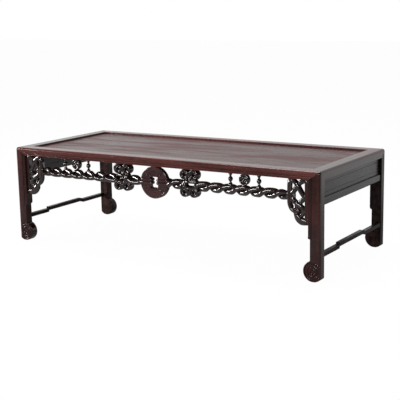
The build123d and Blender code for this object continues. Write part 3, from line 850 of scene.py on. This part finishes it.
def disc_mesh(name, sizes):
    """Disc with a raised rim, an upright hole, small studs and two binding cords each side."""
    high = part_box("disc_ornament")[1]
    centre = Vector((0, 0, high.z - sizes.radius))
    face = front_face + DISC_SETBACK
    back = face + sizes.thickness
    sides = 160
    rim, sink, lip, chamfer = sizes.rim, sizes.sink, 0.8 * MM, 0.9 * MM
    profile = (
        ("hole", 0.0, back), ("hole", 0.0, face + lip), ("hole", lip * 0.3, face + lip * 0.3),
        ("hole", lip, face), ("hole", rim * 0.6, face), ("hole", rim * 0.6 + sink, face + sink),
        ("edge", rim + sink, face + sink), ("edge", rim, face), ("edge", chamfer, face),
        ("edge", chamfer * 0.3, face + chamfer * 0.3), ("edge", 0.0, face + chamfer),
        ("edge", 0.0, back - chamfer), ("edge", chamfer, back),
    )
    bm = bmesh.new()
    rings = []
    for kind, inset, y in profile:
        ring = []
        for angle, c, s in circle(sides):
            if kind == "hole":
                reach = hole_reach(
                    angle, sizes.hole_half + inset, sizes.hole_rise + inset,
                    sizes.hole_corner + inset,
                )
            else:
                reach = sizes.radius - inset
            ring.append(Vector((reach * c, y, centre.z + reach * s)))
        rings.append(ring)
    add_rings(bm, rings, closed=True)
    r = sizes.stud_radius
    for degrees in STUD_PLACES:
        angle = math.radians(degrees)
        spot = Vector((math.cos(angle), 0, math.sin(angle))) * sizes.stud_circle + centre
        spot.y = face + sink
        add_lathe(
            bm, [(TIP, -1.1 * r), (0.5 * r, -0.95 * r), (0.9 * r, -0.5 * r), (r, 0.4 * r),
                 (r, r), (TIP, r)],
            spot, ACROSS, 20,
        )
    cord = sizes.cord_width
    x_out = sizes.radius - 1 * MM
    x_in = sizes.hole_half - sizes.cord_bulge + cord / 2
    y_front = face - sizes.cord_rise + cord / 2
    y_back = back + sizes.cord_rise - cord / 2
    middle_y = (y_front + y_back) / 2
    for side in (-1, 1):
        for row in (-0.5, 0.5):
            z = centre.z + CORD_LIFT + row * cord * 0.97        # the two cords touch
            route = [
                Vector((side * x, y, z))
                for x, y in (
                    (x_out, middle_y), (x_out - 2.5 * MM, y_front + 1 * MM),
                    (x_out - 9 * MM, y_front), (x_in + 6 * MM, y_front),
                    (x_in + 1.4 * MM, y_front + 0.5 * MM), (x_in, y_front + 2.2 * MM),
                    (x_in, y_back - 2.2 * MM), (x_in + 2 * MM, y_back),
                    (x_out - 9 * MM, y_back), (x_out - 2.5 * MM, y_back - 1 * MM),
                )
            ]
            run = smooth_run(route, closed=True)
            add_tube(bm, run, cord, cord, closed=True, sides=14, across=UP)
    return to_mesh(name, bm)


class KANG_OT_disc(bpy.types.Operator):
    """Carve the pierced disc and the cords that bind it"""

    bl_idname = "kang.disc"
    bl_label = "Disc"

    def execute(self, context):
        mesh = disc_mesh("disc_carved", context.scene.kang_disc)
        place_piece(
            mesh, ["disc_ornament"], hardwood("disc", "X"),
            crease=math.radians(35),
        )
        return {"FINISHED"}


# ---- turned struts and bosses ----
def strut_mesh(name, node, sizes):
    """Turned strut with a bulb between two necks and beads at its ends."""
    foot = rope_top - 2.2 * MM          # sunk into the rope
    rise = frame_bottom - foot
    flare, neck, bulb = sizes.flare, sizes.neck, sizes.bulb
    shape = [
        (TIP, -4 * MM), (flare, -4 * MM), (flare, 0.02 * rise), (flare * 0.86, 0.08 * rise),
        (neck * 1.35, 0.17 * rise), (neck, 0.24 * rise), (neck * 1.05, 0.285 * rise),
        (bulb * 0.72, 0.34 * rise), (bulb * 0.93, 0.41 * rise), (bulb, 0.485 * rise),
        (bulb * 0.93, 0.56 * rise), (bulb * 0.72, 0.63 * rise), (neck * 1.05, 0.69 * rise),
        (neck, 0.74 * rise), (neck * 1.25, 0.80 * rise), (flare * 0.70, 0.86 * rise),
        (flare * 0.88, 0.90 * rise), (flare * 0.80, 0.94 * rise), (flare * 0.95, rise),
        (flare * 0.95, rise + 0.5 * MM), (TIP, rise + 0.5 * MM),
    ]
    bm = bmesh.new()
    add_lathe(bm, shape, Vector((middle(node).x, rope_axis.y, foot)), UP, 32)
    return to_mesh(name, bm)


def boss_mesh(name, node, sizes):
    """Round boss with turned rings on both faces and a collar down to the rope."""
    low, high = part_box(node)
    centre = middle(node)
    centre.z = frame_bottom - sizes.boss
    deep = (high.y - low.y) / 2
    r = sizes.boss
    # distance from the axis and share of the half depth
    face = [
        (TIP, 0.98), (0.07 * r, 0.96), (0.14 * r, 0.84), (0.17 * r, 0.62), (0.22 * r, 0.56),
        (0.30 * r, 0.60), (0.37 * r, 0.74), (0.44 * r, 0.80), (0.51 * r, 0.74), (0.57 * r, 0.60),
        (0.62 * r, 0.60), (0.67 * r, 0.78), (0.74 * r, 0.95), (0.84 * r, 0.99), (0.93 * r, 0.90),
        (0.99 * r, 0.66), (r, 0.40),
    ]
    front_half = [(radius, -height * deep) for radius, height in face]
    back_half = [(radius, height * deep) for radius, height in reversed(face)]
    bm = bmesh.new()
    add_lathe(bm, front_half + back_half, centre, ACROSS, 64)
    foot = rope_top - 3 * MM            # sunk into the rope
    collar = sizes.collar
    neck = centre.z - r - foot
    add_lathe(
        bm,
        [(TIP, -3 * MM), (collar * 1.15, -3 * MM), (collar * 1.15, 0.1 * neck),
         (collar * 0.95, 0.45 * neck), (collar * 0.8, neck), (collar * 0.8, neck + 4 * MM),
         (TIP, neck + 4 * MM)],
        Vector((centre.x, rope_axis.y, foot)), UP, 32,
    )
    return to_mesh(name, bm)


class KANG_OT_turnings(bpy.types.Operator):
    """Turn the four struts and the two bosses"""

    bl_idname = "kang.turnings"
    bl_label = "Struts and bosses"

    def execute(self, context):
        sizes = context.scene.kang_turning
        for side in ("left", "right"):
            for node, make, axis in (
                ("strut_outer_" + side, strut_mesh, "Z"),
                ("strut_inner_" + side, strut_mesh, "Z"),
                ("boss_" + side, boss_mesh, "X"),
            ):
                place_piece(
                    make(node + "_turned", node, sizes), [node],
                    hardwood("carving", axis), crease=math.radians(60),
                )
        return {"FINISHED"}


# ---- spandrels ----
def spandrel_mesh(name, sizes):
    """Pierced corner carving on the right: an outer tube, two braided strands and a tail."""
    low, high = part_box("spandrel_right")
    middle_y = (low.y + high.y) / 2

    def route(points):
        """Smooth run through points given by distance from the leg, drop and depth."""
        return smooth_run([
            Vector((leg_x - inward * MM, middle_y + sink * sizes.weave, frame_bottom - drop * MM))
            for inward, drop, sink in points
        ])

    bm = bmesh.new()
    tube = (
        (44, 5, 0), (49, 8, 0), (51, 15, 0), (51.3, 30, 0), (51.3, 50, 0), (50, 62, 0),
        (45.5, 71.5, 0), (38, 76.5, 0), (30, 76, -0.5), (23, 72, -1),
    )
    add_tube(bm, route(tube), sizes.tube_width, sizes.tube_depth, sides=20)
    over = (
        (51, 8, 0), (49, 4.8, 0), (43.3, 4.6, 0), (37.3, 7.8, -0.3), (32.3, 12.3, -0.8),
        (27.8, 18.8, -1.1), (23.3, 26.8, -0.6), (18.8, 34.3, -0.2), (14.3, 40.3, 0.2),
        (13.8, 45.5, 0.4), (18.8, 50.5, 0.6), (25, 56, 1.0), (31, 62.5, 1.2), (36.2, 71, 0.6),
        (35.2, 80, 0), (28.3, 89, -1.2), (19, 96.5, -0.5), (9, 100, 0), (0, 101, 0),
    )
    under = (
        (2, 14, 0.6), (4.5, 8.5, 0.2), (9.5, 5, 0), (17, 5.6, 0.4), (24, 9.5, 0.9),
        (30.5, 15, 1.2), (35.5, 22.5, 0.7), (40, 29.5, 0.2), (44, 36, 0), (44.5, 45, 0),
        (38.5, 53, -0.6), (30, 59.5, -1.2), (21.5, 65, -0.8), (15.8, 71.5, -0.3), (15.8, 79, 0.2),
        (21, 85.5, 0.8), (28.5, 89, 1.2), (34, 91.5, 0.8),
    )
    tail = (
        (34, 76, -0.2), (33, 88, -0.2), (28.8, 96.5, -0.2), (21, 102.5, 0), (12, 103, 0),
        (1, 101.5, 0),
    )
    for strand in (over, under, tail):
        add_tube(bm, route(strand), sizes.strand_width, sizes.strand_depth, full=0.82)
    strip_x, half = leg_x - sizes.edge_width, sizes.edge_depth / 2
    add_block(
        bm, Vector((strip_x, middle_y - half, low.z + 3 * MM)),
        Vector((leg_x + 2 * MM, middle_y + half, frame_bottom + 0.3 * MM)),
    )
    seat = ((58, 41, 0), (48, 41, 0), (38, 41, 0))          # it takes the end of the rope
    seat_width, seat_depth = 19 * MM, 13 * MM
    add_tube(bm, route(seat), seat_width, seat_depth)
    mesh = fused(name, bm, sizes.voxel)
    for face in mesh.polygons:      # the strip has the tone of the leg
        face.material_index = int(face.center.x > strip_x + 1.5 * MM)
    return mesh


class KANG_OT_spandrels(bpy.types.Operator):
    """Carve the two pierced corner pieces"""

    bl_idname = "kang.spandrels"
    bl_label = "Corner carvings"

    def execute(self, context):
        mesh = spandrel_mesh("spandrel_right_carved", context.scene.kang_spandrel)
        for piece in place_pair(mesh, "spandrel", hardwood("carving", "Z")):
            piece.data.materials.append(hardwood("leg", "Z"))
        return {"FINISHED"}


# ---- stage ----
# place, width and height of each lamp; its power is the setting of the same name
LAMPS = {
    "key": ((-2.35, -1.35, 0.72), 1.0, 0.35),
    "face": ((0.25, -2.65, 0.80), 1.0, 0.30),
    "top": ((-0.2, 0.3, 2.3), 1.6, 1.2),
}


def add_lamp(name, place, aim, width, height, power):
    """Soft rectangular lamp that faces a point."""
    light = bpy.data.lights.new(name, "AREA")
    light.shape = "RECTANGLE"
    light.size, light.size_y = width, height
    light.energy = power
    obj = bpy.data.objects.new(name, light)
    obj.location = place
    obj.rotation_euler = (Vector(aim) - Vector(place)).to_track_quat("-Z", "Y").to_euler()
    bpy.context.scene.collection.objects.link(obj)
    obj.visible_camera = False


def studio_world(fill):
    """World that is white to the camera; gloss sees it bright at the back left, dim in front."""
    world = bpy.data.worlds.new("Studio")
    tree = empty_tree(world)
    rays = add_node(tree, "ShaderNodeLightPath").outputs
    way = add_node(tree, "ShaderNodeTexCoord").outputs["Generated"]
    split = add_node(tree, "ShaderNodeSeparateXYZ", {0: way}).outputs
    front_level, more_at_back, more_at_left = 0.08, 0.62, 0.17
    back = add_ramp(tree, split["Y"], -0.25, 0.55)
    left = add_ramp(tree, split["X"], -0.40, -0.66)
    gain = add_sum(tree, more_at_back, (left, more_at_left))
    mirror_level = add_sum(tree, front_level, (back, gain))
    level = add_node(
        tree, "ShaderNodeMix", {"Factor": rays["Is Glossy Ray"], "A": fill, "B": mirror_level},
    ).outputs["Result"]
    level = add_node(
        tree, "ShaderNodeMix", {"Factor": rays["Is Camera Ray"], "A": level, "B": 1.0},
    ).outputs["Result"]
    shade = add_node(tree, "ShaderNodeBackground", {"Color": (1, 1, 1, 1), "Strength": level})
    out = add_node(tree, "ShaderNodeOutputWorld")
    tree.links.new(shade.outputs[0], out.inputs["Surface"])
    return world


def floor_material():
    """White floor with a faint shadow; reflections see it glow with a painted shadow under the
    table, dimmer in front.
    """
    material = bpy.data.materials.new("studio_floor")
    tree = empty_tree(material)
    rays = add_node(tree, "ShaderNodeLightPath").outputs
    place = add_node(tree, "ShaderNodeTexCoord").outputs["Object"]
    split = add_node(tree, "ShaderNodeSeparateXYZ", {0: place}).outputs
    half_length, half_depth, centre_y = 0.46, 0.20, 0.10        # of the floor that reflections see with a painted shadow
    shaded_level, more_at_edge, more_in_open = 0.12, 0.20, 0.50
    front_share, more_behind = 0.25, 0.72
    # painted shadow: reflections see the floor dimmest under the table and brighter in the open
    not_front = add_ramp(tree, split["Y"], -0.95, -0.35)
    beside = add_maths(tree, "SUBTRACT", add_maths(tree, "ABSOLUTE", split["X"]), half_length)
    behind = add_maths(tree, "ABSOLUTE", add_maths(tree, "SUBTRACT", split["Y"], centre_y))
    away = add_maths(tree, "MAXIMUM", beside, add_maths(tree, "SUBTRACT", behind, half_depth))
    near_edge = add_ramp(tree, away, -0.20, 0.08)
    open_floor = add_ramp(tree, away, 0.15, 0.80)
    level = add_sum(tree, shaded_level, (near_edge, more_at_edge), (open_floor, more_in_open))
    dimmed = add_sum(tree, front_share, (not_front, more_behind))
    mirror_level = add_maths(tree, "MULTIPLY", dimmed, level)
    white = add_node(tree, "ShaderNodeBsdfDiffuse", {"Color": (0.4, 0.4, 0.4, 1)}).outputs[0]
    seen = add_node(tree, "ShaderNodeEmission", {"Strength": 1.04}).outputs[0]
    mirrored_floor = add_node(tree, "ShaderNodeEmission", {"Strength": mirror_level}).outputs[0]
    to_mirror = add_node(
        tree, "ShaderNodeMixShader", {0: rays["Is Glossy Ray"], 1: white, 2: mirrored_floor},
    ).outputs[0]
    white_share = 0.94      # the rest of what the camera sees is the lit floor with its shadow
    whitened = add_maths(tree, "MULTIPLY", rays["Is Camera Ray"], white_share)
    shown = add_node(tree, "ShaderNodeMixShader", {0: whitened, 1: to_mirror, 2: seen}).outputs[0]
    out = add_node(tree, "ShaderNodeOutputMaterial")
    tree.links.new(shown, out.inputs["Surface"])
    return material


class KANG_OT_stage(bpy.types.Operator):
    """Set up the floor, the lamps and the camera"""

    bl_idname = "kang.stage"
    bl_label = "Studio"

    def execute(self, context):
        scene = context.scene
        stage = scene.kang_stage
        scene.world = studio_world(stage.fill)
        scene.view_settings.view_transform = "Standard"
        bm = bmesh.new()
        half_width = 12
        bmesh.ops.create_grid(bm, x_segments=1, y_segments=1, size=half_width)
        floor = bpy.data.objects.new("floor", to_mesh("floor", bm))
        floor.data.materials.append(floor_material())
        scene.collection.objects.link(floor)
        table_middle = (0, 0, 0.15)
        for name, (place, width, height) in LAMPS.items():
            power = getattr(stage, name + "_power")
            add_lamp(name, place, table_middle, width, height, power)
        camera = bpy.data.objects.new("camera", bpy.data.cameras.new("camera"))
        camera.data.sensor_width = 36.0
        camera.data.lens = stage.camera_lens
        camera.location = stage.camera_place
        view = Euler((math.pi / 2 - stage.camera_elevation, 0, stage.camera_azimuth), "XYZ")
        tilt = Matrix.Rotation(stage.camera_roll, 3, "Z")
        camera.rotation_euler = (view.to_matrix() @ tilt).to_euler()
        scene.collection.objects.link(camera)
        scene.camera = camera
        return {"FINISHED"}


class KANG_PT_panel(bpy.types.Panel):
    """Lists the steps that dress the table"""

    bl_idname = "KANG_PT_panel"
    bl_label = "Kang table"
    bl_space_type = "VIEW_3D"
    bl_region_type = "UI"
    bl_category = "Kang table"

    def draw(self, context):
        for step in STEPS:
            self.layout.operator(step.bl_idname)
        for name in SETTINGS:
            group = getattr(context.scene, name)
            box = self.layout.box()
            for key in group.__annotations__:
                box.prop(group, key)


SETTINGS = {
    "kang_rope": RopeSettings,
    "kang_knot": KnotSettings,
    "kang_spandrel": SpandrelSettings,
    "kang_disc": DiscSettings,
    "kang_turning": TurningSettings,
    "kang_edges": EdgeSettings,
    "kang_finish": FinishSettings,
    "kang_stage": StageSettings,
}
STEPS = (
    KANG_OT_frame,
    KANG_OT_boards,
    KANG_OT_rope,
    KANG_OT_knots,
    KANG_OT_disc,
    KANG_OT_turnings,
    KANG_OT_spandrels,
    KANG_OT_stage,
)


def register():
    """Registers the settings, the steps and the panel."""
    for name, group in SETTINGS.items():
        bpy.utils.register_class(group)
        setattr(bpy.types.Scene, name, PointerProperty(type=group))
    for step in STEPS:
        bpy.utils.register_class(step)
    bpy.utils.register_class(KANG_PT_panel)


def unregister():
    """Undoes register."""
    bpy.utils.unregister_class(KANG_PT_panel)
    for step in reversed(STEPS):
        bpy.utils.unregister_class(step)
    for name, group in reversed(SETTINGS.items()):
        delattr(bpy.types.Scene, name)
        bpy.utils.unregister_class(group)


def main():
    """Dresses the table step by step."""
    register()
    bpy.ops.kang.frame()
    bpy.ops.kang.boards()
    bpy.ops.kang.rope()
    bpy.ops.kang.knots()
    bpy.ops.kang.disc()
    bpy.ops.kang.turnings()
    bpy.ops.kang.spandrels()
    bpy.ops.kang.stage()


if __name__ == "__main__":
    main()
